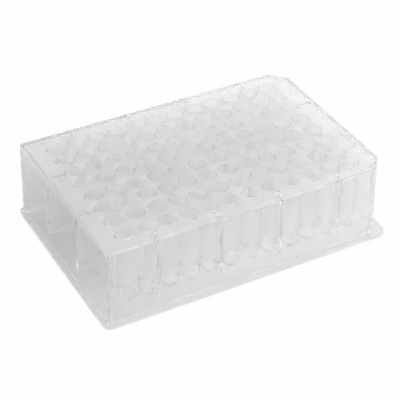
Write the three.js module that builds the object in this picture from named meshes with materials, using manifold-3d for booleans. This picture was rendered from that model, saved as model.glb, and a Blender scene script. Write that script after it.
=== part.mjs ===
// Deep-well plate, 96 round wells in 8 rows of 12, moulded in one piece of clear polystyrene.
// Millimetres, +Z up. The origin is the centre of the footprint, on the plane that the plate stands on.
// +X runs along the long side, towards the end whose two corners are cut off.
import * as THREE from "three";
import { mergeVertices } from "three/addons/utils/BufferGeometryUtils.js";
import Module from "manifold-3d";

// Footprint of a standard microplate, and the foot flange that carries it.
const FOOT_LENGTH = 127.76;
const FOOT_WIDTH = 85.48;
const FOOT_CORNER_R = 3.18;
const FLANGE_HEIGHT = 2.41;
const FLANGE_EDGE = 0.35; // bevel along the flange's outer edges

// Skirt wall. It leans in by DRAFT on each side between the foot and the top.
const HEIGHT = 34.8;
const TOP_HALF_X = 61.96;
const TOP_HALF_Y = 40.83;
const DRAFT = 0.55;
const WALL = 1.5;
const DECK = 1.4; // the flat top plate that joins the wells
const CORNER_CUT = 6.7; // both corners of the +X end, measured along each side
const CORNER_R = 1.3; // both corners of the -X end
const RIM_EDGE = 0.4; // bevel along the top outer edge

// Wells: a tube under the deck with a drafted bore and a round bottom.
const COLUMNS = 12;
const ROWS = 8;
const PITCH = 9;
const BORE_R_TOP = 3.6;
const BORE_R_LOW = 3.3;
const TUBE_R_TOP = 4.3;
const TUBE_R_LOW = 4.05;
const TUBE_BOTTOM = 3.4; // lowest point of the tubes above the standing plane
const BOTTOM_CENTRE = TUBE_BOTTOM + TUBE_R_LOW; // centre of both round bottoms
const WELL_SIDES = 8;

// Ribs that tie the outer wells to the skirt, 27 mm apart.
const RIB = 1.3;
const RIB_BOTTOM = 8;
const SIDE_RIBS_X = [-40.5, -13.5, 13.5, 40.5];
const END_RIBS_Y = [-13.5, 13.5];

// Shallow round moulding marks in the deck beside the last column.
const MARKS = [
  [57.0, 22.5],
  [57.0, -10.6],
  [57.0, -22.2],
];
const MARK_R = 1.75;
const MARK_GROOVE = 0.45;
const MARK_DEPTH = 0.25;

const wasm = await Module();
wasm.setup();

// A closed three.js geometry as a solid.
function solid(geometry) {
  const bare = geometry.clone();
  bare.deleteAttribute("normal");
  bare.deleteAttribute("uv");
  const merged = mergeVertices(bare, 1e-4);
  return new wasm.Manifold(
    new wasm.Mesh({
      numProp: 3,
      vertProperties: new Float32Array(merged.attributes.position.array),
      triVerts: new Uint32Array(merged.index.array),
    }),
  );
}

function geometryOf(body) {
  const mesh = body.getMesh();
  const positions = new Float32Array(mesh.numVert * 3);
  for (let i = 0; i < mesh.numVert; i++)
    positions.set(
      mesh.vertProperties.subarray(i * mesh.numProp, i * mesh.numProp + 3),
      i * 3,
    );
  const geometry = new THREE.BufferGeometry();
  geometry.setAttribute("position", new THREE.BufferAttribute(positions, 3));
  geometry.setIndex(new THREE.BufferAttribute(new Uint32Array(mesh.triVerts), 1));
  geometry.computeVertexNormals();
  return geometry;
}

function arc(points, cx, cy, r, from, steps) {
  for (let i = 0; i <= steps; i++) {
    const a = THREE.MathUtils.degToRad(from + (90 * i) / steps);
    points.push([cx + r * Math.cos(a), cy + r * Math.sin(a)]);
  }
}

// Plan of the skirt: cut corners at +X, rounded corners at -X, anticlockwise.
function skirtPlan(hx, hy, cut, r) {
  const points = [
    [hx - cut, -hy],
    [hx, -hy + cut],
    [hx, hy - cut],
    [hx - cut, hy],
  ];
  arc(points, -hx + r, hy - r, r, 90, 3);
  arc(points, -hx + r, -hy + r, r, 180, 3);
  return points;
}

// Plan of the foot: a rectangle with four rounded corners, anticlockwise.
function footPlan(inset) {
  const hx = FOOT_LENGTH / 2 - inset;
  const hy = FOOT_WIDTH / 2 - inset;
  const r = FOOT_CORNER_R - inset;
  const points = [];
  arc(points, hx - r, -hy + r, r, -90, 4);
  arc(points, hx - r, hy - r, r, 0, 4);
  arc(points, -hx + r, hy - r, r, 90, 4);
  arc(points, -hx + r, -hy + r, r, 180, 4);
  return points;
}

// A solid between two plans with the same number of points.
function loft(low, high, z0, z1) {
  const shape = new THREE.Shape(low.map(([x, y]) => new THREE.Vector2(x, y)));
  const geometry = new THREE.ExtrudeGeometry(shape, {
    depth: z1 - z0,
    bevelEnabled: false,
    curveSegments: 1,
  });
  const position = geometry.attributes.position;
  for (let i = 0; i < position.count; i++) {
    if (position.getZ(i) > (z1 - z0) / 2) {
      const x = position.getX(i);
      const y = position.getY(i);
      let best = 0;
      low.forEach(([lx, ly], k) => {
        if (Math.hypot(lx - x, ly - y) < Math.hypot(low[best][0] - x, low[best][1] - y))
          best = k;
      });
      position.setXY(i, ...high[best]);
    }
  }
  geometry.translate(0, 0, z0);
  return solid(geometry);
}

// Half sizes of the skirt's outside at a height.
function halfSizes(z, inset = 0) {
  const lean = DRAFT * (1 - z / HEIGHT);
  return [TOP_HALF_X + lean - inset, TOP_HALF_Y + lean - inset];
}
function planAt(z, inset = 0) {
  const [hx, hy] = halfSizes(z, inset);
  return skirtPlan(
    hx,
    hy,
    CORNER_CUT - inset * (2 - Math.SQRT2),
    Math.max(CORNER_R - inset, 0.4),
  );
}

// A turned solid with its axis along Z, flats facing the sides.
function turned(profile) {
  const geometry = new THREE.LatheGeometry(
    profile.map(([r, z]) => new THREE.Vector2(r, z)),
    WELL_SIDES,
    Math.PI / WELL_SIDES,
  );
  geometry.rotateX(Math.PI / 2);
  const index = geometry.index.array;
  const made = solid(geometry);
  if (made.volume() > 0) return made;
  for (let i = 0; i < index.length; i += 3)
    [index[i + 1], index[i + 2]] = [index[i + 2], index[i + 1]];
  return solid(geometry);
}

// Round-bottomed profile from the axis up to z, then back to the axis.
function wellProfile(rLow, rTop, zTop) {
  return [
    [0, BOTTOM_CENTRE - rLow],
    [rLow * Math.SQRT1_2, BOTTOM_CENTRE - rLow * Math.SQRT1_2],
    [rLow, BOTTOM_CENTRE],
    [rTop, zTop],
    [0, zTop],
  ];
}

function block(x0, x1, y0, y1, z0, z1) {
  const geometry = new THREE.BoxGeometry(x1 - x0, y1 - y0, z1 - z0);
  geometry.translate((x0 + x1) / 2, (y0 + y1) / 2, (z0 + z1) / 2);
  return solid(geometry);
}

function makePlate() {
  const underDeck = HEIGHT - DECK;

  // Shell: drafted block with a bevelled top edge, on the foot flange, hollowed from below.
  let plate = loft(planAt(0), planAt(HEIGHT - RIM_EDGE), 0, HEIGHT - RIM_EDGE)
    .add(
      loft(
        planAt(HEIGHT - RIM_EDGE),
        planAt(HEIGHT, RIM_EDGE),
        HEIGHT - RIM_EDGE,
        HEIGHT,
      ),
    )
    .add(
      loft(footPlan(0), footPlan(0), 0, FLANGE_HEIGHT - FLANGE_EDGE).add(
        loft(
          footPlan(0),
          footPlan(FLANGE_EDGE),
          FLANGE_HEIGHT - FLANGE_EDGE,
          FLANGE_HEIGHT,
        ),
      ),
    )
    .subtract(loft(planAt(-2, WALL), planAt(underDeck, WALL), -2, underDeck));

  // Tubes hang from the deck. They are joined a little above its underside.
  const overlap = 0.6;
  const tube = turned(wellProfile(TUBE_R_LOW, TUBE_R_TOP, underDeck + overlap));
  const bore = turned(wellProfile(BORE_R_LOW, BORE_R_TOP, HEIGHT + 0.5));
  const centres = [];
  for (let i = 0; i < COLUMNS; i++)
    for (let j = 0; j < ROWS; j++)
      centres.push([
        (i - (COLUMNS - 1) / 2) * PITCH,
        (j - (ROWS - 1) / 2) * PITCH,
      ]);
  const lastX = ((COLUMNS - 1) / 2) * PITCH;
  const lastY = ((ROWS - 1) / 2) * PITCH;

  let added = centres
    .map(([x, y]) => tube.translate([x, y, 0]))
    .reduce((a, b) => a.add(b));

  // Ribs from the outer wells to the skirt.
  const reach = TUBE_R_TOP - 0.9;
  for (const side of [-1, 1]) {
    for (const x of SIDE_RIBS_X) {
      const ys = [side * (lastY + reach), side * (TOP_HALF_Y - WALL / 2)].sort(
        (a, b) => a - b,
      );
      added = added.add(
        block(x - RIB / 2, x + RIB / 2, ys[0], ys[1], RIB_BOTTOM, underDeck + overlap),
      );
    }
    for (const y of END_RIBS_Y) {
      const xs = [side * (lastX + reach), side * (TOP_HALF_X - WALL / 2)].sort(
        (a, b) => a - b,
      );
      added = added.add(
        block(xs[0], xs[1], y - RIB / 2, y + RIB / 2, RIB_BOTTOM, underDeck + overlap),
      );
    }
  }
  plate = plate.add(added);

  const bores = centres
    .map(([x, y]) => bore.translate([x, y, 0]))
    .reduce((a, b) => a.add(b));
  plate = plate.subtract(bores);

  // Ring-shaped grooves of the moulding marks.
  for (const [x, y] of MARKS) {
    const groove = new THREE.LatheGeometry(
      [
        [MARK_R - MARK_GROOVE, HEIGHT - MARK_DEPTH],
        [MARK_R, HEIGHT - MARK_DEPTH],
        [MARK_R, HEIGHT + 0.5],
        [MARK_R - MARK_GROOVE, HEIGHT + 0.5],
        [MARK_R - MARK_GROOVE, HEIGHT - MARK_DEPTH],
      ].map(([r, z]) => new THREE.Vector2(r, z)),
      12,
    );
    groove.rotateX(Math.PI / 2);
    groove.translate(x, y, 0);
    let cut = solid(groove);
    if (cut.volume() < 0) {
      const index = groove.index.array;
      for (let i = 0; i < index.length; i += 3)
        [index[i + 1], index[i + 2]] = [index[i + 2], index[i + 1]];
      cut = solid(groove);
    }
    plate = plate.subtract(cut);
  }
  return plate;
}

const material = new THREE.MeshStandardMaterial({
  color: 0xe6eaea,
  roughness: 0.08,
  metalness: 0,
  transparent: true,
  opacity: 0.45,
});
const plate = new THREE.Mesh(geometryOf(makePlate()), material);
plate.name = "well_plate";

const part = new THREE.Group();
part.add(plate);

export default part;
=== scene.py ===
"""Clear deep-well plate: the fine mesh, its plastic, and a plain studio around it.

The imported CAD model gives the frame. The plate is rebuilt here as one closed mesh at a much
finer resolution than the CAD solid: round wells with round bottoms, rounded edges, ribs and
moulding marks. Lengths are in millimetres until the mesh is handed over in metres.
"""

import math

import bpy
import numpy as np
from mathutils import Matrix, Vector


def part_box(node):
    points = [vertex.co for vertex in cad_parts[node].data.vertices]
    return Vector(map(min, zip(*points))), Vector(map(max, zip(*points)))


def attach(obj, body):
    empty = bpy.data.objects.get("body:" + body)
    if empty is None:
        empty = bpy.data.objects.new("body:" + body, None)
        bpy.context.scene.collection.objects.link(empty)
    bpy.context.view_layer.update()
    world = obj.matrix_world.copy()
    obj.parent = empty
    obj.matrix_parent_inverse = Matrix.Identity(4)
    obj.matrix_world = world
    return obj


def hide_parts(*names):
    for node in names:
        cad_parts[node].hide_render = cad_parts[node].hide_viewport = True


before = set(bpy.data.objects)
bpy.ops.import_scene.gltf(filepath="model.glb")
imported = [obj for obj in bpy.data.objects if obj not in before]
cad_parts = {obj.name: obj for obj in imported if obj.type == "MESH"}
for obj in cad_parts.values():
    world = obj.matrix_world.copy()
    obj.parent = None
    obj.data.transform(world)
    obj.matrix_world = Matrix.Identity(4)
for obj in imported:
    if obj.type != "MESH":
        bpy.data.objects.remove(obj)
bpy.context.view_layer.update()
lo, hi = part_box("well_plate")

# ---------------------------------------------------------------- sizes, mm
FOOT_X = (hi.x - lo.x) * 1000.0
FOOT_Y = (hi.y - lo.y) * 1000.0
HEIGHT = (hi.z - lo.z) * 1000.0
FOOT_R = 3.18
FLANGE = 2.41
FLANGE_EDGE = 0.35
TOP_X, TOP_Y = 61.96, 40.83  # half sizes of the skirt at the top
DRAFT = 0.55
WALL = 1.5
DECK = 1.4
CUT = 6.7
CORNER_R = 1.3
CUT_R = 0.7  # rounding of the vertical edges of both cut corners
RIM_EDGE = 0.4
ROOT_R = 0.3  # where the skirt meets the flange
INNER_R = 0.5  # where the deck meets the inside of the skirt

COLUMNS, ROWS, PITCH = 12, 8, 9.0
BORE_TOP, BORE_LOW = 3.6, 3.3
TUBE_TOP, TUBE_LOW = 4.3, 4.05
BOTTOM_Z = 3.4 + TUBE_LOW  # centre of both round bottoms
BORE_EDGE = 0.2
TUBE_ROOT = 0.16
SIDES = 48

RIB = 1.3
RIB_Z = 8.0
SIDE_RIBS = (-40.5, -13.5, 13.5, 40.5)
END_RIBS = (-13.5, 13.5)
MARKS = ((57.0, 22.5), (57.0, -10.6), (57.0, -22.2))
MARK_R, MARK_GROOVE, MARK_DEPTH = 1.75, 0.45, 0.25

# ---------------------------------------------------------------- surface
POLISH, SATIN, SKIRT_SATIN, MOUTH_SATIN, EDGE_SATIN = 0.015, 0.45, 0.21, 0.40, 0.34  # roughness of polished faces, and what the others add
DECK_SATIN = 0.33
SATIN_LOW, SATIN_FULL = 8.0, 16.0  # mm, the satin fades in between these heights
TINT_THIN, TINT_DEEP = (1.0, 1.0, 1.0), (0.9985, 0.999, 0.999)
WAVE = 0.000006  # m
DRAWN = 0.05


# ---------------------------------------------------------------- plans and solids
def rounded(corners, radii, steps):
    """Anticlockwise outline with each corner turned into an arc."""
    out = []
    n = len(corners)
    for i in range(n):
        a, v, b = (np.array(corners[(i + k) % n], float) for k in (-1, 0, 1))
        d0, d1 = (v - a) / np.linalg.norm(v - a), (b - v) / np.linalg.norm(b - v)
        turn = math.atan2(d0[0] * d1[1] - d0[1] * d1[0], d0 @ d1)
        r, s = radii[i], steps[i]
        start = v - d0 * r * math.tan(turn / 2)
        left = np.array([-d0[1], d0[0]])
        centre = start + left * r
        for k in range(s + 1):
            t = turn * k / s
            c, q = math.cos(t), math.sin(t)
            out.append(centre - r * np.array([c * left[0] - q * left[1], q * left[0] + c * left[1]]))
    return np.array(out)


def skirt_plan(z, inset=0.0):
    lean = DRAFT * (1 - z / HEIGHT)
    hx, hy = TOP_X + lean - inset, TOP_Y + lean - inset
    cut = CUT - inset * (2 - math.sqrt(2))
    corners = [(hx - cut, -hy), (hx, -hy + cut), (hx, hy - cut), (hx - cut, hy), (-hx, hy), (-hx, -hy)]
    rc, rr = max(CUT_R - inset, 0.35), max(CORNER_R - inset, 0.5)
    return rounded(corners, [rc] * 4 + [rr] * 2, [4] * 4 + [8] * 2)


def foot_plan(inset=0.0):
    hx, hy, r = FOOT_X / 2 - inset, FOOT_Y / 2 - inset, FOOT_R - inset
    return rounded([(hx, -hy), (hx, hy), (-hx, hy), (-hx, -hy)], [r] * 4, [12] * 4)


def loft(levels):
    """Closed skin through plans of equal length, lowest first."""
    n = len(levels[0][0])
    verts = np.vstack([np.column_stack([p, np.full(n, z)]) for p, z in levels])
    faces = []
    for k in range(len(levels) - 1):
        for i in range(n):
            j = (i + 1) % n
            faces.append((k * n + i, k * n + j, (k + 1) * n + j, (k + 1) * n + i))
    faces.append(tuple(range(n - 1, -1, -1)))
    faces.append(tuple((len(levels) - 1) * n + i for i in range(n)))
    return verts, faces


def turned(profile, sides, phase=0.0):
    """Closed skin of a profile from axis to axis, lowest point first."""
    ring = [p for p in profile if p[0] > 0]
    a = phase + 2 * np.pi * np.arange(sides) / sides
    verts = [(0, 0, profile[0][1])]
    for r, z in ring:
        verts += [(r * c, r * s, z) for c, s in zip(np.cos(a), np.sin(a))]
    verts.append((0, 0, profile[-1][1]))
    faces = []
    for i in range(sides):
        j = (i + 1) % sides
        faces.append((0, 1 + j, 1 + i))
        for k in range(len(ring) - 1):
            u, w = 1 + k * sides, 1 + (k + 1) * sides
            faces.append((u + i, u + j, w + j, w + i))
        u = 1 + (len(ring) - 1) * sides
        faces.append((u + i, u + j, len(verts) - 1))
    return np.array(verts, float), faces


def closed_ring(profile, sides):
    """Closed skin of a profile that goes round the axis without touching it, anticlockwise in (r, z)."""
    a = 2 * np.pi * np.arange(sides) / sides
    m = len(profile)
    verts = [(r * math.cos(t), r * math.sin(t), z) for t in a for r, z in profile]
    faces = []
    for i in range(sides):
        j = (i + 1) % sides
        for k in range(m):
            l = (k + 1) % m
            faces.append((i * m + k, j * m + k, j * m + l, i * m + l))
    return np.array(verts, float), faces


def block(x0, x1, y0, y1, z0, z1):
    v = np.array([(x, y, z) for z in (z0, z1) for y in (y0, y1) for x in (x0, x1)], float)
    return v, [(0, 2, 3, 1), (4, 5, 7, 6), (0, 1, 5, 4), (2, 6, 7, 3), (0, 4, 6, 2), (1, 3, 7, 5)]


def placed(part, spots):
    """Copies of one skin at several places, as one skin."""
    verts, faces = part
    all_v, all_f = [], []
    for k, (x, y) in enumerate(spots):
        all_v.append(verts + np.array([x, y, 0.0]))
        all_f += [tuple(i + k * len(verts) for i in f) for f in faces]
    return np.vstack(all_v), all_f


def joined(parts):
    all_v, all_f, n = [], [], 0
    for v, f in parts:
        all_v.append(v)
        all_f += [tuple(i + n for i in face) for face in f]
        n += len(v)
    return np.vstack(all_v), all_f


def mesh_object(name, part):
    mesh = bpy.data.meshes.new(name)
    mesh.from_pydata([tuple(v) for v in part[0]], [], part[1])
    mesh.update()
    obj = bpy.data.objects.new(name, mesh)
    bpy.context.scene.collection.objects.link(obj)
    return obj


def boolean(base, part, operation):
    tool = mesh_object("tool", part)
    mod = base.modifiers.new("cut", "BOOLEAN")
    mod.operation, mod.solver, mod.object = operation, "MANIFOLD", tool
    bpy.context.view_layer.update()
    done = bpy.data.meshes.new_from_object(base.evaluated_get(bpy.context.evaluated_depsgraph_get()))
    base.modifiers.clear()
    base.data = done
    bpy.data.objects.remove(tool)


def quarter(steps):
    return [math.pi / 2 * k / steps for k in range(steps + 1)]


# Foot flange with rounded edges.
e = FLANGE_EDGE
flange = loft(
    [(foot_plan(e * (1 - math.sin(t))), e * (1 - math.cos(t))) for t in quarter(4)]
    + [(foot_plan(e * (1 - math.cos(t))), FLANGE - e + e * math.sin(t)) for t in quarter(4)]
)
# Skirt, from inside the flange up to the rounded rim.
levels = [(skirt_plan(FLANGE, -ROOT_R - 0.05), FLANGE - 0.6), (skirt_plan(FLANGE, -ROOT_R - 0.05), FLANGE - 0.004)]
levels += [
    (skirt_plan(FLANGE, -ROOT_R * (1 - math.sin(t))), FLANGE + ROOT_R * (1 - math.cos(t))) for t in quarter(4)
]
levels += [
    (skirt_plan(HEIGHT, RIM_EDGE * (1 - math.cos(t))), HEIGHT - RIM_EDGE + RIM_EDGE * math.sin(t)) for t in quarter(5)
]
skirt = loft(levels)
# Hollow under the deck.
levels = [(skirt_plan(0, WALL - 0.25), -1.0), (skirt_plan(0, WALL - 0.25), -0.02)]
levels += [(skirt_plan(0, WALL - 0.25 * (1 - math.sin(t))), 0.25 * (1 - math.cos(t))) for t in quarter(3)]
levels += [
    (skirt_plan(HEIGHT - DECK, WALL + INNER_R * (1 - math.cos(t))), HEIGHT - DECK - INNER_R + INNER_R * math.sin(t))
    for t in quarter(4)
]
hollow = loft(levels)

# Tubes, solid first: round bottom, slightly tapered side, small root under the deck.
under = HEIGHT - DECK
profile = [(TUBE_LOW * math.sin(t), BOTTOM_Z - TUBE_LOW * math.cos(t)) for t in quarter(5)]
profile[0] = (0.0, BOTTOM_Z - TUBE_LOW)
profile += [
    (TUBE_TOP + TUBE_ROOT * (1 - math.cos(t)), under - TUBE_ROOT + TUBE_ROOT * math.sin(t)) for t in quarter(2)
]
profile[-1] = (TUBE_TOP + TUBE_ROOT, under + 0.02)
profile += [(TUBE_TOP + TUBE_ROOT, under + 0.6), (0.0, under + 0.6)]
tube = turned(profile, SIDES)
# Bores: round bottom, drafted side, rounded mouth.
profile = [(BORE_LOW * math.sin(t), BOTTOM_Z - BORE_LOW * math.cos(t)) for t in quarter(5)]
profile[0] = (0.0, BOTTOM_Z - BORE_LOW)
profile += [
    (BORE_TOP + BORE_EDGE * (1 - math.cos(t)), HEIGHT - BORE_EDGE + BORE_EDGE * math.sin(t)) for t in quarter(5)
]
profile[-1] = (BORE_TOP + BORE_EDGE, HEIGHT + 0.01)
profile += [(BORE_TOP + BORE_EDGE + 0.1, HEIGHT + 1.0), (0.0, HEIGHT + 1.0)]
bore = turned(profile, SIDES)

wells = [
    ((c - (COLUMNS - 1) / 2) * PITCH, ((ROWS - 1) / 2 - r) * PITCH) for c in range(COLUMNS) for r in range(ROWS)
]
edge_x, edge_y = (COLUMNS - 1) / 2 * PITCH, (ROWS - 1) / 2 * PITCH
ribs = []
for x in SIDE_RIBS:
    for s in (-1, 1):
        y0, y1 = sorted((s * (edge_y + TUBE_LOW - 0.35), s * (TOP_Y - WALL / 2)))
        ribs.append(block(x - RIB / 2, x + RIB / 2, y0, y1, RIB_Z, under + 0.5))
for y in END_RIBS:
    for s in (-1, 1):
        x0, x1 = sorted((s * (edge_x + TUBE_LOW - 0.35), s * (TOP_X - WALL / 2)))
        ribs.append(block(x0, x1, y - RIB / 2, y + RIB / 2, RIB_Z, under + 0.5))

g = MARK_GROOVE / 2
groove = closed_ring(
    [
        (MARK_R - g - 0.1, HEIGHT + 0.1),
        (MARK_R - g * 0.7, HEIGHT - MARK_DEPTH * 0.7),
        (MARK_R, HEIGHT - MARK_DEPTH),
        (MARK_R + g * 0.7, HEIGHT - MARK_DEPTH * 0.7),
        (MARK_R + g + 0.1, HEIGHT + 0.1),
    ],
    32,
)

plate = mesh_object("plate", flange)
boolean(plate, skirt, "UNION")
boolean(plate, hollow, "DIFFERENCE")
boolean(plate, placed(tube, wells), "UNION")
boolean(plate, joined(ribs), "UNION")
boolean(plate, joined([placed(bore, wells), placed(groove, MARKS)]), "DIFFERENCE")

mesh = plate.data
mesh.transform(Matrix.Translation(Vector(((lo.x + hi.x) / 2, (lo.y + hi.y) / 2, lo.z))) @ Matrix.Scale(0.001, 4))
mesh.shade_smooth()
mesh.set_sharp_from_angle(angle=math.radians(38))
weighted = plate.modifiers.new("normals", "WEIGHTED_NORMAL")
weighted.mode, weighted.weight, weighted.keep_sharp = "FACE_AREA_WITH_ANGLE", 50, True

# ---------------------------------------------------------------- clear polystyrene
class Nodes:
    """Short way to add and link maths nodes in one tree."""

    def __init__(self, tree):
        self.tree = tree

    def add(self, kind, **settings):
        node = self.tree.nodes.new(kind)
        for key, value in settings.items():
            setattr(node, key, value)
        return node

    def feed(self, socket, value):
        if isinstance(value, bpy.types.NodeSocket):
            self.tree.links.new(value, socket)
        else:
            socket.default_value = value

    def math(self, operation, a, b=None, c=None):
        node = self.add("ShaderNodeMath", operation=operation)
        for socket, value in zip(node.inputs, (a, b, c)):
            if value is not None:
                self.feed(socket, value)
        return node.outputs[0]

    def vector(self, operation, a, b=None, scale=None, output=0):
        node = self.add("ShaderNodeVectorMath", operation=operation)
        self.feed(node.inputs[0], a)
        if b is not None:
            self.feed(node.inputs[1], b)
        if scale is not None:
            self.feed(node.inputs["Scale"], scale)
        return node.outputs[output]


clear = bpy.data.materials.new("clear_polystyrene")
clear.use_nodes = True
bsdf = clear.node_tree.nodes["Principled BSDF"]
bsdf.inputs["Transmission Weight"].default_value = 0.997
bsdf.inputs["IOR"].default_value = 1.585
n = Nodes(clear.node_tree)
spot = n.add("ShaderNodeTexCoord").outputs["Object"]
split = n.add("ShaderNodeSeparateXYZ")
n.feed(split.inputs[0], spot)
x, y, z = split.outputs


def noise(vector, scale, detail=2.0, roughness=0.5):
    node = n.add("ShaderNodeTexNoise")
    n.feed(node.inputs["Vector"], vector)
    for key, value in (("Scale", scale), ("Detail", detail), ("Roughness", roughness)):
        node.inputs[key].default_value = value
    return node.outputs[0]


def inside_box(half_x, half_y):
    return n.math(
        "MULTIPLY",
        n.math("LESS_THAN", n.math("ABSOLUTE", x), half_x / 1000),
        n.math("LESS_THAN", n.math("ABSOLUTE", y), half_y / 1000),
    )


# The tubes, bores and ribs, and the deck's underside among the tubes, keep the fine satin of the
# tool's core side, fading to polish at the round bottoms. The outside of the skirt is polished.
high = n.add("ShaderNodeMapRange", interpolation_type="SMOOTHSTEP")
n.feed(high.inputs["Value"], z)
high.inputs["From Min"].default_value = lo.z + SATIN_LOW / 1000
high.inputs["From Max"].default_value = lo.z + SATIN_FULL / 1000
lean = n.math("MULTIPLY_ADD", n.math("SUBTRACT", z, lo.z), -DRAFT / HEIGHT, (DRAFT - WALL) / 1000)
off_x = n.math("SUBTRACT", n.math("SUBTRACT", n.math("ABSOLUTE", x), TOP_X / 1000), lean)
off_y = n.math("SUBTRACT", n.math("SUBTRACT", n.math("ABSOLUTE", y), TOP_Y / 1000), lean)
within = n.math("LESS_THAN", n.math("MAXIMUM", off_x, off_y), -0.00006)
satin = n.math("MULTIPLY", high.outputs[0], within)
mouth = n.math("MULTIPLY", satin, n.math("LESS_THAN", z, lo.z + (HEIGHT - 0.012) / 1000))
satin = n.math("MULTIPLY", satin, n.math("LESS_THAN", z, lo.z + (HEIGHT - BORE_EDGE) / 1000))
off_deck = n.math("ABSOLUTE", n.math("SUBTRACT", z, lo.z + (HEIGHT - DECK) / 1000))
core = n.math("MAXIMUM", n.math("GREATER_THAN", off_deck, 0.00003), inside_box(edge_x + TUBE_TOP, edge_y + TUBE_TOP))
satin = n.math("MULTIPLY", satin, core)
# The inside of the skirt is a little less bright than its outside.
skirt_inside = n.math("LESS_THAN", n.math("MINIMUM", n.math("ABSOLUTE", off_x), n.math("ABSOLUTE", off_y)), 0.00006)
cloud = noise(spot, 70.0, 3.0, 0.55)
drawn = noise(n.vector("MULTIPLY", spot, (1.0, 1.0, 0.04)), 1100.0, 2.0, 0.6)
grain = n.math("MULTIPLY_ADD", drawn, 0.3, 0.85)
matt = n.math("MAXIMUM", n.math("MULTIPLY", satin, SATIN), n.math("MULTIPLY", skirt_inside, SKIRT_SATIN))
matt = n.math("MAXIMUM", matt, n.math("MULTIPLY", mouth, MOUTH_SATIN))
# The foot and the rim are not polished as brightly as the skirt.
foot = n.math("LESS_THAN", z, lo.z + (FLANGE + 0.3) / 1000)
rim = n.math("SUBTRACT", 1.0, inside_box(TOP_X - WALL, TOP_Y - WALL))
rim = n.math("MULTIPLY", rim, n.math("GREATER_THAN", z, lo.z + (HEIGHT - RIM_EDGE - 0.03) / 1000))
matt = n.math("MAXIMUM", matt, n.math("MULTIPLY", foot, EDGE_SATIN))
matt = n.math("MAXIMUM", matt, n.math("MULTIPLY", rim, DECK_SATIN))
# The deck among the wells has a light satin of its own.
field = n.math("MULTIPLY", n.math("GREATER_THAN", z, lo.z + (HEIGHT - 0.02) / 1000), inside_box(edge_x + PITCH / 2, edge_y + PITCH / 2))
matt = n.math("MAXIMUM", matt, n.math("MULTIPLY", field, DECK_SATIN))
rough = n.math("MULTIPLY_ADD", matt, grain, n.math("MULTIPLY", cloud, 2 * POLISH))
n.feed(bsdf.inputs["Roughness"], rough)
# Very slight unevenness of tint through the moulding.
tint = n.add("ShaderNodeMix", data_type="RGBA")
n.feed(tint.inputs[0], n.math("MULTIPLY_ADD", cloud, 2.0, -0.5))
tint.clamp_factor = True
tint.inputs[6].default_value = (*TINT_THIN, 1)
tint.inputs[7].default_value = (*TINT_DEEP, 1)
n.feed(bsdf.inputs["Base Color"], tint.outputs[2])
# Flow waves a few thousandths of a millimetre high, and faint lines along the draw.
wave = n.math("ADD", n.math("MULTIPLY", noise(spot, 90.0, 1.0), 1.0), n.math("MULTIPLY", drawn, DRAWN))
bump = n.add("ShaderNodeBump")
n.feed(bump.inputs["Height"], wave)
bump.inputs["Strength"].default_value = 1.0
bump.inputs["Distance"].default_value = WAVE
n.feed(bsdf.inputs["Normal"], bump.outputs[0])
plate.data.materials.clear()
plate.data.materials.append(clear)
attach(plate, "root")
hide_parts("well_plate")

# ---------------------------------------------------------------- studio
scene = bpy.context.scene
floor = mesh_object("floor", (np.array([(-4, -4, 0), (4, -4, 0), (4, 4, 0), (-4, 4, 0)], float), [(0, 1, 2, 3)]))
floor.location.z = lo.z - 0.00005
pale = bpy.data.materials.new("pale_floor")
pale.use_nodes = True
pale.node_tree.nodes["Principled BSDF"].inputs["Base Color"].default_value = (0.98, 0.98, 0.98, 1)
pale.node_tree.nodes["Principled BSDF"].inputs["Roughness"].default_value = 0.9
pale.node_tree.nodes["Principled BSDF"].inputs["Specular IOR Level"].default_value = 0.0


def knock_out(tree, surface, output):
    """Backdrop that is clean white to the camera and keeps its own soft grey for everything else."""
    path = tree.nodes.new("ShaderNodeLightPath")
    white = tree.nodes.new("ShaderNodeBackground" if output.bl_idname == "ShaderNodeOutputWorld" else "ShaderNodeEmission")
    white.inputs["Color"].default_value = (0.99, 0.99, 0.99, 1)
    mix = tree.nodes.new("ShaderNodeMixShader")
    tree.links.new(path.outputs["Is Camera Ray"], mix.inputs["Fac"])
    tree.links.new(surface, mix.inputs[1])
    tree.links.new(white.outputs[0], mix.inputs[2])
    tree.links.new(mix.outputs[0], output.inputs["Surface"])


knock_out(pale.node_tree, pale.node_tree.nodes["Principled BSDF"].outputs[0], pale.node_tree.nodes["Material Output"])
floor.data.materials.append(pale)

# Soft light from all round: a direction, how tight the glow is, and its colour.
AMBIENT = (0.58, 0.58, 0.58)
GLOWS = (
    ((0.90, -0.30, 0.30), 1.0, (0.14, 0.14, 0.14)),
    ((-0.30, -0.90, 0.25), 3.0, (0.36, 0.362, 0.338)),
    ((0.60, 0.42, 0.69), 22.0, (0.20, 0.20, 0.20)),
    ((0.45, 0.62, 0.64), 30.0, (0.66, 0.66, 0.65)),
    ((0.20, 0.95, 0.19), 60.0, (1.30, 1.24, 1.42)),
)
# Painted light and shade on the table: pools of painted light that glow by emission, and patches of painted shadow.
# Place in metres, radius, colour.
PAINTED_LIGHT_POOLS = (
    ((0.13, 0.05), 0.05, (0.14, 0.14, 0.14)),
    ((0.08, 0.13), 0.05, (0.20, 0.20, 0.21)),
)
# Painted shadow: the table is darker here, left of the plate, where its soft shadow falls.
PAINTED_SHADOWS = (((-0.10, 0.025), 0.04, (0.50, 0.50, 0.51)),)

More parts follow.
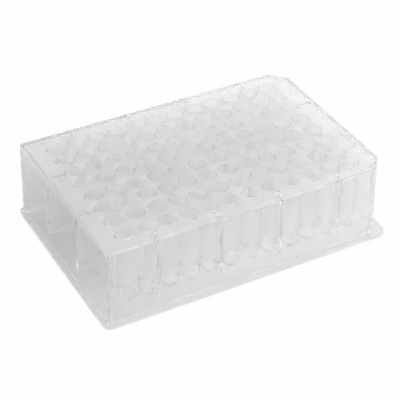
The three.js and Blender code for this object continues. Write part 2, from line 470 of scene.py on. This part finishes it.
world = bpy.data.worlds.new("studio")
scene.world = world
world.use_nodes = True
n = Nodes(world.node_tree)
sky = n.add("ShaderNodeTexCoord").outputs["Generated"]
light = AMBIENT
for towards, tight, colour in GLOWS:
    facing = n.vector("DOT_PRODUCT", sky, tuple(Vector(towards).normalized()), output="Value")
    glow = n.math("EXPONENT", n.math("MULTIPLY_ADD", facing, tight, -tight))
    light = n.vector("ADD", n.vector("SCALE", colour, scale=glow), light)
background = world.node_tree.nodes["Background"]
if isinstance(light, tuple):
    background.inputs["Color"].default_value = (*light, 1)
else:
    n.feed(background.inputs["Color"], light)
knock_out(world.node_tree, background.outputs[0], world.node_tree.nodes["World Output"])

n = Nodes(pale.node_tree)
spot = n.add("ShaderNodeTexCoord").outputs["Object"]


def patches(spots):
    total = (0.0, 0.0, 0.0)
    for place, radius, colour in spots:
        away = n.vector("DISTANCE", spot, (*place, 0.0), output="Value")
        near = n.math("EXPONENT", n.math("MULTIPLY", n.math("MULTIPLY", away, away), -0.5 / radius**2))
        total = n.vector("ADD", n.vector("SCALE", colour, scale=near), total)
    return total


table = pale.node_tree.nodes["Principled BSDF"]
# Painted pools of light: the table glows by emission in these patches.
n.feed(table.inputs["Emission Color"], patches(PAINTED_LIGHT_POOLS))
table.inputs["Emission Strength"].default_value = 1.0
# Painted shadow: the table's colour is darkened in these patches.
n.feed(table.inputs["Base Color"], n.vector("SUBTRACT", (0.98, 0.98, 0.98), patches(PAINTED_SHADOWS)))


def softbox(name, at, target, size, power):
    data = bpy.data.lights.new(name, "AREA")
    data.shape = "RECTANGLE"
    data.size, data.size_y = size
    data.energy = power
    obj = bpy.data.objects.new(name, data)
    scene.collection.objects.link(obj)
    obj.location = at
    obj.rotation_mode = "QUATERNION"
    obj.rotation_quaternion = (Vector(target) - Vector(at)).to_track_quat("-Z", "Y")
    return obj


softbox("key_box", (-0.3, -0.5, 0.5), (0, 0, 0.02), (0.10, 0.10), 0.1)
softbox("back_box", (0.40, 0.69, 0.22), (0, 0, 0.02), (0.09, 0.09), 0.1)

# ---------------------------------------------------------------- camera
FOCAL, AZ, EL, ROLL, DIST = 1370.28, math.radians(-29.10), math.radians(36.44), math.radians(-0.80), 558.87
OX, OY = 1.24, -15.78
back = Vector((math.sin(AZ) * math.cos(EL), -math.cos(AZ) * math.cos(EL), math.sin(EL)))
fwd = -back
right = fwd.cross(Vector((0, 0, 1))).normalized()
down = fwd.cross(right)
right2 = right * math.cos(ROLL) + down * math.sin(ROLL)
down2 = down * math.cos(ROLL) - right * math.sin(ROLL)
aim = Vector((0, 0, 20.0))
where = aim - (right2 * (OX * DIST / FOCAL) + down2 * (OY * DIST / FOCAL) + fwd * DIST)
cam = bpy.data.objects.new("camera", bpy.data.cameras.new("camera"))
scene.collection.objects.link(cam)
cam.data.sensor_width = 36.0
cam.data.lens = FOCAL / 400.0 * 36.0
cam.data.clip_start, cam.data.clip_end = 0.02, 20.0
cam.rotation_mode = "QUATERNION"
turn = Matrix((right2, -down2, -fwd)).transposed()
cam.rotation_quaternion = turn.to_quaternion()
cam.location = where * 0.001
scene.camera = cam

scene.view_settings.view_transform = "Standard"
# Light is guided a long way inside the walls, so the bounce limits are high and nothing is blurred on the way.
scene.cycles.max_bounces = 256
scene.cycles.transmission_bounces = 256
scene.cycles.glossy_bounces = 256
scene.cycles.diffuse_bounces = 32
scene.cycles.blur_glossy = 0.0
